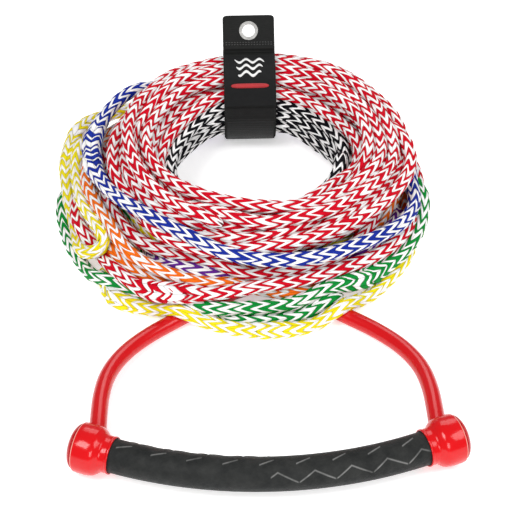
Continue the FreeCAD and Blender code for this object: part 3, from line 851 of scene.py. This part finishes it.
LABEL_END = 65 * MM         # height at which the flap ends on the loop's inner side
COIL_Y = COIL_CENTRE[1]
SEAM = (122.5 * MM, 95.9 * MM)
TAB_LEAN = math.radians(42.0)
TAB_HINGE = (0.0, 0.359031, 0.099278)
TAB_LENGTH = 32.1 * MM
GROMMET_UP = 16.8 * MM
TAB_BORE = 6.9 * MM


def webbing(name, colour, rib, fuzz):
    """Woven tape: ribs across it, finer yarns along it, or a fuzzy pile."""
    n = Nodes(name)
    vector, u, v = n.uv("surface")
    weave = n.maths("MULTIPLY_ADD", n.wave(v, rib), 0.35, n.maths("MULTIPLY", n.wave(u, 0.7 * MM), 0.2))
    tufts = n.noise(1.0, 4.0, 0.7, n.scaled(vector, (1500.0, 1500.0, 1.0)))
    height = n.maths("MULTIPLY_ADD", tufts, fuzz, weave)
    tone = n.noise(1.0, 3.0, 0.6, n.scaled(vector, (160.0, 220.0, 1.0)))
    plain = n.mix(tone, tuple(c * 0.65 for c in colour), tuple(c * 1.3 for c in colour))
    speckle = n.ramp(tufts, (0.60, (0.0, 0.0, 0.0)), (0.85, (1.0, 1.0, 1.0)))
    colour_out = n.mix(n.maths("MULTIPLY", speckle, 0.3 * fuzz), plain, (0.10, 0.10, 0.10))
    normal = n.bump(height, 0.5, 0.35 * MM)
    return n.finish(colour_out, 0.6, normal, Sheen_Weight=0.03, Sheen_Roughness=0.4, Specular_IOR_Level=0.15)


def thread_material(name, colour):
    n = Nodes(name)
    ply = n.maths("SINE", n.maths("MULTIPLY", n.noise(900.0), 9.0))
    tone = n.mix(n.noise(300.0), tuple(c * 0.6 for c in colour), colour)
    return n.finish(tone, 0.5, n.bump(ply, 0.4, 0.2 * MM), Sheen_Weight=0.2)


def strip(name, path, thickness, material, half_width=WEBBING_HALF, x=KEEPER_X, step=0.8 * MM, ribs=0.0,
          end_corner=0.0):
    """A flat tape with rounded edges along a path of (distance from the coil's axis, height)."""
    line = resampled(np.array([(0.0, COIL_Y + u, z) for u, z in path]), step)
    heading = np.gradient(line, axis=0)
    heading /= np.linalg.norm(heading, axis=1)[:, None]
    outward = np.cross(np.array([1.0, 0, 0]), heading)
    flat = np.linspace(-1, 1, 27)
    edge = np.sqrt(1 - np.abs(flat) ** 24)
    across = np.concatenate([flat, flat[::-1]]) * half_width
    lift = np.concatenate([edge, -edge[::-1]]) * thickness / 2
    lift = np.where(np.abs(lift) < 0.05 * thickness, np.sign(lift + 1e-12) * 0.05 * thickness, lift)
    to_end = along(line)[-1] - along(line)
    corner = np.clip(1 - to_end / max(end_corner, 1e-9), 0, 1)
    narrow = (half_width - end_corner * (1 - np.sqrt(1 - 0.98 * corner ** 2))) / half_width
    wave = 1 + ribs * np.cos(along(line) * 2 * math.pi / (2.4 * MM))
    rings = (line[:, None, :] + (narrow[:, None] * across[None, :])[..., None] * np.array([1.0, 0, 0])
             + (lift[None, :] * wave[:, None])[..., None] * outward[:, None, :])
    rings[..., 0] += x
    return grid_mesh(name, rings, material)


def loop_path(offset, start_angle, end_angle):
    """Round the loop's section, offset outward, from the top round the outside and bottom and up again.

    Angles are measured at the outer top corner (start) and the inner top corner (end), from upright.
    """
    r = LOOP_CORNER + offset
    low_z = LOOP_LOW + LOOP_CORNER
    under = LOOP_INNER + LOWER_CORNER
    high_z = LOOP_HIGH - LOOP_CORNER
    inner = LOOP_INNER + LOOP_CORNER
    outer = LOOP_OUTER - LOOP_CORNER
    path = []

    def arc(cu, cz, first, last, r=r):
        for angle in np.linspace(math.radians(first), math.radians(last), 24):
            path.append((cu + r * math.sin(angle), cz + r * math.cos(angle)))

    arc(outer, high_z, start_angle, 90)
    arc(outer, low_z, 90, 180)
    arc(under, LOOP_LOW + LOWER_CORNER, 180, 270, LOWER_CORNER + offset)
    arc(inner, high_z, 270, end_angle)
    return path


def stitch_row(name, places, length, material, body):
    """Short raised threads at given places, each a small rounded bar along X."""
    vertices = []
    faces = []
    for x, y, z in places:
        base = len(vertices)
        for t in np.linspace(-1, 1, 5):
            size = 0.42 * MM * math.sqrt(max(0.06, 1 - t * t))
            for m in range(6):
                angle = m * math.pi / 3
                vertices.append((x + t * length / 2, y + size * math.cos(angle), z + size * math.sin(angle)))
        for k in range(4):
            for m in range(6):
                a, b = base + k * 6 + m, base + k * 6 + (m + 1) % 6
                faces.append((a, b, b + 6, a + 6))
        faces.append(tuple(base + m for m in range(6))[::-1])
        faces.append(tuple(base + 24 + m for m in range(6)))
    row = new_object(name, vertices, faces, material)
    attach(row, body)
    return row


def on_tab(forward, up):
    """A place on the tab: millimetres forward of its middle plane and up it from its hinge."""
    y = TAB_HINGE[1] - forward * math.cos(TAB_LEAN) + up * math.sin(TAB_LEAN)
    z = TAB_HINGE[2] + forward * math.sin(TAB_LEAN) + up * math.cos(TAB_LEAN)
    return y, z


def flap_path(offset, end_height):
    """From the seam forward over the top and down the loop's inner corner."""
    r = LOOP_CORNER + offset
    high_z = LOOP_HIGH - LOOP_CORNER
    inner = LOOP_INNER + LOOP_CORNER
    path = [(SEAM[0] + 1.0 * MM, high_z + r), (inner + 2 * MM, high_z + r)]
    for angle in np.linspace(0, -math.acos((end_height - high_z) / r), 30):
        path.append((inner + r * math.sin(angle), high_z + r * math.cos(angle)))
    return path


def build_keeper():
    nylon = webbing("webbing_nylon", (0.0085, 0.009, 0.0085), 2.4 * MM, 0.25)
    loop = strip("keeper_webbing", loop_path(0.9 * MM, 6, 358), 1.8 * MM, nylon, ribs=0.08)
    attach(loop, "keeper")
    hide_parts("keeper_strap", "keeper_seam")

    pile_cloth = webbing("pile_fuzz", (0.009, 0.009, 0.009), 3.0 * MM, 1.6)
    path = [p for p in loop_path(2.3 * MM, 6, 358) if p[0] < LOOP_INNER + LOOP_CORNER and p[1] > 8 * MM]
    pile = strip("keeper_pile", path, 1.0 * MM, pile_cloth, half_width=WEBBING_HALF - 1 * MM)
    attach(pile, "keeper")
    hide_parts("keeper_loop_pile")

    flap = strip("flap_webbing", flap_path(4.6 * MM, LABEL_END), 1.8 * MM, nylon, ribs=0.08)
    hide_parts("keeper_flap")
    hook_cloth = webbing("hook_tape", (0.008, 0.008, 0.008), 1.2 * MM, 0.9)
    hooks = strip("flap_hooks", flap_path(3.4 * MM, LABEL_END + 3 * MM)[6:], 0.7 * MM, hook_cloth,
                  half_width=WEBBING_HALF - 1.5 * MM)
    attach(hooks, "keeper_flap")
    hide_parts("keeper_hook_patch")
    satin = webbing("label_satin", (0.0075, 0.008, 0.0085), 0.5 * MM, 0.1)
    label = strip("flap_label", flap_path(5.75 * MM, LABEL_END + 1.5 * MM)[3:], 0.5 * MM, satin,
                  half_width=WEBBING_HALF - 1.2 * MM)
    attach(label, "keeper_flap")
    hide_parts("keeper_label")
    prints = build_emblem()

    front, back = on_tab(0, 0), on_tab(0, TAB_LENGTH)
    foot = (SEAM[0] + COIL_Y - 2.5 * MM, SEAM[1] - 0.3 * MM)
    bend = [foot, (foot[0] + 2.2 * MM, foot[1] + 0.9 * MM), (front[0] - 0.3 * MM, front[1]),
            on_tab(0, 3 * MM), back]
    path = [(y - COIL_Y, z) for y, z in bend]
    tab = strip("tab_webbing", path, 3.4 * MM, nylon, step=0.5 * MM, ribs=0.05, end_corner=3.5 * MM)
    bore_tab(tab)
    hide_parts("keeper_tab")

    thread = thread_material("thread_black", (0.05, 0.05, 0.05))
    columns = np.arange(-22, 22.1, 2.75) * MM + KEEPER_X
    stitches = []
    for row, up in enumerate((3.2, 5.4)):
        y, z = on_tab(2.0 * MM, up * MM)
        places = [(x, y, z) for x in columns]
        stitches.append(stitch_row("tab_stitches_%d" % row, places, 1.9 * MM, thread, "keeper_tab"))
    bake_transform(flap)
    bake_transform(tab)
    return [loop, pile, flap, hooks, label, tab, *stitches, *prints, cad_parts["grommet"],
            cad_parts["grommet_washer"]]


def bore_tab(tab):
    """Cuts the hole that the eyelet sits in."""
    mesh = bpy.data.meshes.new("punch")
    work = bmesh.new()
    bmesh.ops.create_cone(work, cap_ends=True, segments=64, radius1=TAB_BORE, radius2=TAB_BORE,
                          depth=24 * MM)
    work.to_mesh(mesh)
    work.free()
    punch = bpy.data.objects.new("punch", mesh)
    bpy.context.scene.collection.objects.link(punch)
    punch.location = (KEEPER_X, *on_tab(0, GROMMET_UP))
    punch.rotation_euler = (math.pi / 2 - TAB_LEAN, 0, 0)
    cut = tab.modifiers.new("bore", "BOOLEAN")
    cut.object = punch
    cut.operation = "DIFFERENCE"
    cut.solver = "EXACT"
    bpy.context.view_layer.update()
    graph = bpy.context.evaluated_depsgraph_get()
    tab.data = bpy.data.meshes.new_from_object(tab.evaluated_get(graph))
    tab.modifiers.clear()
    bpy.data.objects.remove(punch)


def build_emblem():
    """A plain printed emblem: three waves over a bar."""
    white = thread_material("print_white", (0.97, 0.97, 0.96))
    red = thread_material("print_red", (0.50, 0.004, 0.010))
    path = np.array(flap_path(6.1 * MM, LABEL_END))
    distance = along(np.column_stack([path, np.zeros(len(path))]))

    def on_flap(x, down):
        u = np.interp(down, distance, path[:, 0])
        z = np.interp(down, distance, path[:, 1])
        return (KEEPER_X + x, COIL_Y + u, z)

    def ribbon(name, reach, down, half, material, swing=0.0, period=1.0):
        """A printed stripe, straight or waved, this far down the flap."""
        xs = np.linspace(-reach, reach, 61)
        vertices = []
        for x in xs:
            taper = math.sqrt(max(0.0, 1 - (abs(x) / reach) ** 6)) * half + 0.05 * MM
            middle = down + swing * math.sin(x / period * 2 * math.pi)
            vertices += [on_flap(x, middle + taper), on_flap(x, middle - taper)]
        faces = [(2 * k, 2 * k + 2, 2 * k + 3, 2 * k + 1) for k in range(len(xs) - 1)]
        stripe = new_object(name, vertices, faces, material)
        solid = stripe.modifiers.new("body", "SOLIDIFY")
        solid.thickness = 0.15 * MM
        solid.offset = 0
        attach(stripe, "keeper_flap")
        return stripe

    waves = [ribbon("emblem_wave_%d" % k, (14.5 - 1.5 * k) * MM, down * MM, 1.5 * MM, white,
                    2.3 * MM, 13 * MM) for k, down in enumerate((17.0, 24.5, 32.0))]
    return [*waves, ribbon("emblem_bar", 18.5 * MM, 44.5 * MM, 2.2 * MM, red)]


# ---- CAD pieces that keep their shape ----


def nickel():
    n = Nodes("nickel_plate")
    scratches = n.noise(260.0, 4.0, 0.7)
    colour = n.mix(scratches, (0.62, 0.61, 0.59), (0.80, 0.79, 0.77))
    roughness = n.maths("MULTIPLY_ADD", scratches, 0.22, 0.14)
    return n.finish(colour, roughness, n.bump(scratches, 0.08, 0.2 * MM), Metallic=1.0)


def drawn_aluminium():
    n = Nodes("drawn_aluminium")
    lines = n.noise(1.0, 4.0, 0.6, n.scaled(n.coordinates(), (12.0, 900.0, 900.0)))
    colour = n.mix(lines, (0.50, 0.50, 0.51), (0.68, 0.68, 0.70))
    roughness = n.maths("MULTIPLY_ADD", lines, 0.2, 0.25)
    return n.finish(colour, roughness, n.bump(lines, 0.15, 0.2 * MM), Metallic=1.0)


def closed_foam():
    n = Nodes("closed_foam")
    cells = n.add("ShaderNodeTexVoronoi")
    cells.inputs["Scale"].default_value = 900.0
    n.join(n.coordinates(), cells.inputs["Vector"])
    colour = n.mix(cells.outputs["Distance"], (0.74, 0.73, 0.70), (0.60, 0.59, 0.56))
    return n.finish(colour, 0.9, n.bump(cells.outputs["Distance"], 0.5, 0.5 * MM))


def bound_twine():
    """Red twine wound round the splice, for rope ends without a braid of their own."""
    n = Nodes("bound_twine")
    place = n.add("ShaderNodeSeparateXYZ")
    n.join(n.coordinates(), place.inputs[0])
    turns = n.wave(place.outputs[1], 2.2 * MM)
    fibre = n.noise(500.0, 3.0, 0.7)
    height = n.maths("MULTIPLY_ADD", fibre, 0.4, turns)
    # painted shade: the twine is darker in the grooves between its turns
    tone = n.ramp(turns, (0.0, (0.12, 0.002, 0.004)), (0.6, (0.52, 0.01, 0.02)))
    return n.finish(tone, 0.6, n.bump(height, 0.7, 0.7 * MM), Sheen_Weight=0.2)


def dress(material, *nodes):
    for node in nodes:
        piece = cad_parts[node]
        piece.data.materials.clear()
        piece.data.materials.append(material)


def dress_cad_pieces():
    dress(nickel(), "grommet", "grommet_washer")
    dress(drawn_aluminium(), "handle_core")
    dress(closed_foam(), "float_core")
    dress(bound_twine(), "bridle_junction", "bridle_knot_left", "bridle_knot_right", "bridle_rope_left",
          "bridle_rope_right")


# ---- camera, light and floor ----

IMAGE_WIDTH = 515
FOCAL_PIXELS = 1636.0
SENSOR = 36.0
CAMERA_PLACE = (-36.9 * MM, -971.85 * MM, 1028.1 * MM)
CAMERA_ELEVATION = math.radians(42.2)
CAMERA_AZIMUTH = math.radians(-1.8)
FLOOR_HALF = 40.0
LIT_PLACE = (0, 0.15, 0.03)
LIGHTS = {                  # place, size and power
    "key": ((-0.9, -0.8, 1.9), 0.9, 27),
    "fill": ((1.2, -0.5, 1.4), 0.9, 13),
    "front": ((0.15, -1.9, 0.95), 0.8, 15),
    "back": ((0.2, 1.5, 1.3), 1.0, 9),
}


def set_camera():
    data = bpy.data.cameras.new("camera")
    data.sensor_width = SENSOR
    data.lens = SENSOR * FOCAL_PIXELS / IMAGE_WIDTH
    camera = bpy.data.objects.new("camera", data)
    bpy.context.scene.collection.objects.link(camera)
    camera.location = CAMERA_PLACE
    camera.rotation_euler = (math.pi / 2 - CAMERA_ELEVATION, 0, CAMERA_AZIMUTH)
    bpy.context.scene.camera = camera


def area_light(name, place, size, power):
    data = bpy.data.lights.new(name, "AREA")
    data.shape = "SQUARE"
    data.size = size
    data.energy = power
    light = bpy.data.objects.new(name, data)
    light.location = place
    light.rotation_euler = (Vector(LIT_PLACE) - Vector(place)).to_track_quat("-Z", "Y").to_euler()
    bpy.context.scene.collection.objects.link(light)


def set_stage():
    n = Nodes("floor_paper")
    colour = n.ramp(n.noise(3.0, 2.0), (0.3, (0.93, 0.93, 0.93)), (0.7, (0.95, 0.95, 0.95)))
    paper = n.finish(colour, 0.9, Specular_IOR_Level=0.0, Emission_Color=(1, 1, 1, 1),
                     Emission_Strength=0.45)
    corners = [(x * FLOOR_HALF, y * FLOOR_HALF, 0) for x, y in ((-1, -1), (1, -1), (1, 1), (-1, 1))]
    floor = new_object("floor", corners, [(0, 1, 2, 3)], paper, smooth=False)
    for name, (place, size, power) in LIGHTS.items():
        area_light(name, place, size, power)
    world = bpy.data.worlds.new("studio")
    world.use_nodes = True
    background = world.node_tree.nodes["Background"]
    background.inputs["Color"].default_value = (1, 1, 1, 1)
    background.inputs["Strength"].default_value = 0.36
    bpy.context.scene.world = world
    bpy.context.scene.view_settings.view_transform = "Standard"


set_camera()
set_stage()
line_sections = build_line(bridle_obstacles())
build_bridle()
build_keeper()
build_grip()
build_caps()
dress_cad_pieces()
